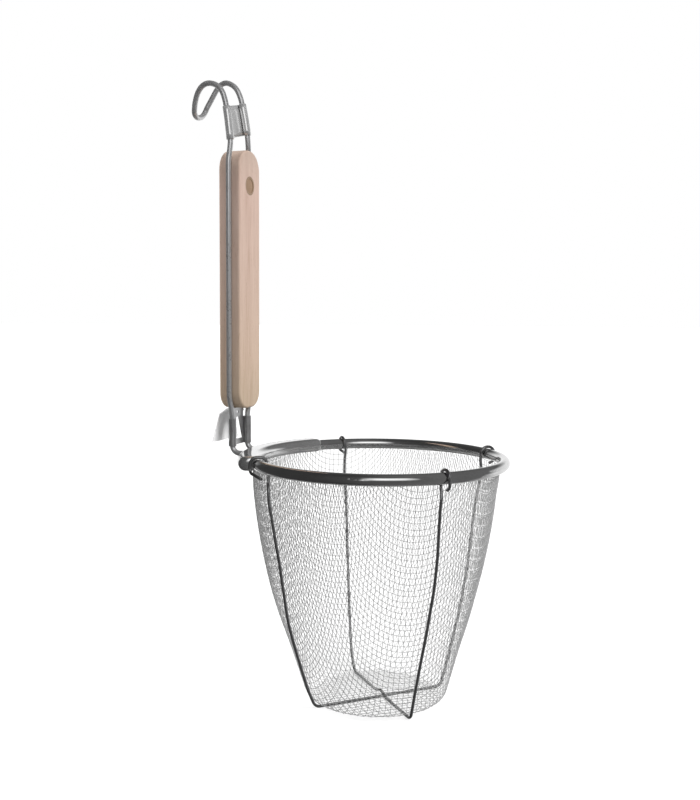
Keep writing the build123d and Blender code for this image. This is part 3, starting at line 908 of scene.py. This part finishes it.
def roll(bm, points):
    """An open roll of sheet along a line of points."""
    outer, inner = [], []
    for point, along in zip(points, tangents(points)):
        side = np.cross(along, (1.0, 0.0, 0.0))
        side /= np.linalg.norm(side)
        other = np.cross(along, side)
        outer.append(ring_of(bm, point, ROLL_RADIUS, side, other, ROLL_SIDES))
        inner.append(ring_of(bm, point, ROLL_RADIUS - SHEET, side, other, ROLL_SIDES))
    for rings in (outer, inner):
        for low, high in zip(rings, rings[1:]):
            bridge(bm, low, high)
    for k in range(ROLL_SIDES):
        j = (k + 1) % ROLL_SIDES
        for end in (0, -1):
            bm.faces.new((outer[end][j], outer[end][k], inner[end][k], inner[end][j]))


def upper_clip_mesh():
    bm = bmesh.new()
    near, far = strand_between(-1, *NEAR_ROLL), strand_between(1, *FAR_ROLL)
    roll(bm, near)
    roll(bm, far)
    sheet_between(bm, near, far, SHEET / 2 - ROLL_RADIUS)
    return mesh_of("upper_clip_drawn", bm)


add_piece("upper_clip_drawn", upper_clip_mesh(), clip_steel, "upper_clip")

# Rim sleeve, oblong round the rim and the handle's feet, its ends closed down on the rim
SLEEVE_RADIUS = 3.78
SLEEVE_GAP = 0.15
SLEEVE_HALF_ANGLE = 38.0
SLEEVE_CLOSING = 2.2
SLEEVE_ROUNDING = 0.7
SLEEVE_STEPS = 73
SLEEVE_SIDES = 32
HANDLE_ANGLE = 180.0


def sleeve_ring(bm, angle):
    """The sleeve's section at an angle from the handle, from oblong to round towards its ends."""
    to_end = min(1.0, (SLEEVE_HALF_ANGLE - abs(angle)) / SLEEVE_CLOSING)
    openness = math.sin(to_end * QUARTER_TURN) ** SLEEVE_ROUNDING
    spread = (FOOT_RING - RIM_RADIUS) * openness
    closed = RIM_TUBE_RADIUS + SLEEVE_GAP
    radius = closed + (SLEEVE_RADIUS - closed) * openness
    ring = []
    for k in range(SLEEVE_SIDES):
        turn = FULL_TURN * k / SLEEVE_SIDES
        outer_half = math.cos(turn) > TINY
        out = RIM_RADIUS + (spread if outer_half else 0.0) + radius * math.cos(turn)
        place = polar(out, HANDLE_ANGLE + angle, RIM_HEIGHT + radius * math.sin(turn))
        ring.append(bm.verts.new(place * MM))
    return ring


def rim_sleeve_mesh():
    bm = bmesh.new()
    angles = np.linspace(-SLEEVE_HALF_ANGLE, SLEEVE_HALF_ANGLE, SLEEVE_STEPS)
    rings = [sleeve_ring(bm, angle) for angle in angles]
    for low, high in zip(rings, rings[1:]):
        bridge(bm, low, high)
    bm.faces.new(rings[0][::-1])
    bm.faces.new(rings[-1])
    return mesh_of("rim_sleeve_drawn", bm)


add_piece("rim_sleeve_drawn", rim_sleeve_mesh(), sleeve_steel, "rim_sleeve")

# Floor, raised to white where the camera sees it, its radius in metres
FLOOR_RADIUS = 12.0
FLOOR_SIDES = 96
FLOOR_COLOUR = grey(0.45)
FLOOR_GLOW = 0.64
WHITE = rgba(grey(1.0))


def seen_directly(tree):
    """1 for the camera's rays, straight or let through, and 0 for others."""
    path = node(tree, "ShaderNodeLightPath")
    return maths(tree, "MAXIMUM", path.outputs["Is Camera Ray"], path.outputs["Is Transmission Ray"])


def floor_material():
    material = bpy.data.materials.new("floor")
    material.use_nodes = True
    tree = material.node_tree
    tree.nodes.clear()
    diffuse = node(tree, "ShaderNodeBsdfDiffuse", {"Color": rgba(FLOOR_COLOUR)})
    glow_strength = maths(tree, "MULTIPLY", seen_directly(tree), FLOOR_GLOW)
    glow = node(tree, "ShaderNodeEmission", {"Color": WHITE, "Strength": glow_strength})
    both = node(tree, "ShaderNodeAddShader")
    feed(tree, diffuse.outputs["BSDF"], both.inputs[0])
    feed(tree, glow.outputs["Emission"], both.inputs[1])
    node(tree, "ShaderNodeOutputMaterial", {"Surface": both.outputs["Shader"]})
    return material


bpy.ops.mesh.primitive_circle_add(
    vertices=FLOOR_SIDES, radius=FLOOR_RADIUS, fill_type="NGON", location=(0, 0, 0),
)
floor = bpy.context.object
floor.name = "floor"
floor.data.materials.append(floor_material())
floor.visible_glossy = False

# World: white to the camera, soft light on rough surfaces, and a studio that the metal mirrors
SOFT_LIGHT = 0.40
CAMERA_WHITE = 1.0
AXIS_SOFTENING = 1e-5
# The studio: a white backdrop that fades upwards and downwards, a dim room around, and one lit panel.
# Angles are in degrees round +Z, their edges are cosines, and heights go from -1 below to 1 overhead
BACKDROP_ANGLE, BACKDROP_EDGE = 98, (0.46, 0.80)
BACKDROP_TOP, BACKDROP_FOOT, BACKDROP_FOOT_LEVEL = (0.20, 0.42), (-0.75, -0.35), 0.15
ROOM_ANGLE, ROOM_EDGE, ROOM_LEVELS = 20, (-0.9, 0.9), (0.05, 0.16)
PANEL_ANGLE, PANEL_EDGE, PANEL_LEVEL = -60, (0.89, 0.985), 1.5
PANEL_HEIGHTS, PANEL_SOFTNESS = (0.14, 0.70), 0.12

world = bpy.data.worlds.new("studio")
scene.world = world
world.use_nodes = True
tree = world.node_tree
tree.nodes.clear()
x, y, height = split_axes(tree, node(tree, "ShaderNodeTexCoord").outputs["Generated"])
x_square, y_square = maths(tree, "MULTIPLY", x, x), maths(tree, "MULTIPLY", y, y)
level_size = maths(tree, "SQRT", maths(tree, "ADD", x_square, maths(tree, "ADD", y_square, AXIS_SOFTENING)))


def towards(angle):
    """Cosine between a direction's turn round +Z and an angle in degrees."""
    turn = math.radians(angle)
    parts = [maths(tree, "MULTIPLY", x, math.cos(turn)), maths(tree, "MULTIPLY", y, math.sin(turn))]
    return maths(tree, "DIVIDE", maths(tree, "ADD", *parts), level_size)


def band(value, low, high, soft_edge):
    """1 between low and high, with soft edges."""
    rise = map_range(tree, value, low - soft_edge, low + soft_edge, 0.0, 1.0)
    fall = map_range(tree, value, high - soft_edge, high + soft_edge, 1.0, 0.0)
    return maths(tree, "MULTIPLY", rise, fall)


def mix_shaders(share, base, other):
    """The base shader, and the other one by its share."""
    made = node(tree, "ShaderNodeMixShader")
    for value, socket in zip((share, base, other), made.inputs):
        feed(tree, value, socket)
    return made.outputs["Shader"]


def background(strength):
    return node(tree, "ShaderNodeBackground", {"Color": WHITE, "Strength": strength}).outputs["Background"]


backdrop_across = map_range(tree, towards(BACKDROP_ANGLE), *BACKDROP_EDGE, 0.0, 1.0)
backdrop_top = map_range(tree, height, *BACKDROP_TOP, 1.0, 0.0)
backdrop_foot = map_range(tree, height, *BACKDROP_FOOT, BACKDROP_FOOT_LEVEL, 1.0)
backdrop = maths(tree, "MULTIPLY", maths(tree, "MULTIPLY", backdrop_across, backdrop_top), backdrop_foot)
room = map_range(tree, towards(ROOM_ANGLE), *ROOM_EDGE, *ROOM_LEVELS)
panel_across = map_range(tree, towards(PANEL_ANGLE), *PANEL_EDGE, 0.0, PANEL_LEVEL)
panel = maths(tree, "MULTIPLY", band(height, *PANEL_HEIGHTS, PANEL_SOFTNESS), panel_across)
mirrored = background(maths(tree, "MAXIMUM", maths(tree, "MAXIMUM", room, backdrop), panel))
is_mirror_ray = node(tree, "ShaderNodeLightPath").outputs["Is Glossy Ray"]
lighting = mix_shaders(is_mirror_ray, background(SOFT_LIGHT), mirrored)
surface = mix_shaders(seen_directly(tree), lighting, background(CAMERA_WHITE))
node(tree, "ShaderNodeOutputWorld", {"Surface": surface})


# Lamps, left out of mirror images
def sun(name, towards_lamp, strength, spread):
    data = bpy.data.lights.new(name, "SUN")
    data.energy = strength
    data.angle = math.radians(spread)
    lamp = bpy.data.objects.new(name, data)
    scene.collection.objects.link(lamp)
    lamp.rotation_euler = Vector(towards_lamp).to_track_quat("Z", "Y").to_euler()
    lamp.visible_glossy = False


sun("key", (1.0, -0.05, 0.85), strength=3.05, spread=40)
sun("rear", (-0.8, 0.7, 0.6), strength=0.4, spread=60)
sun("left", (-1.0, -0.25, 0.45), strength=1.7, spread=40)
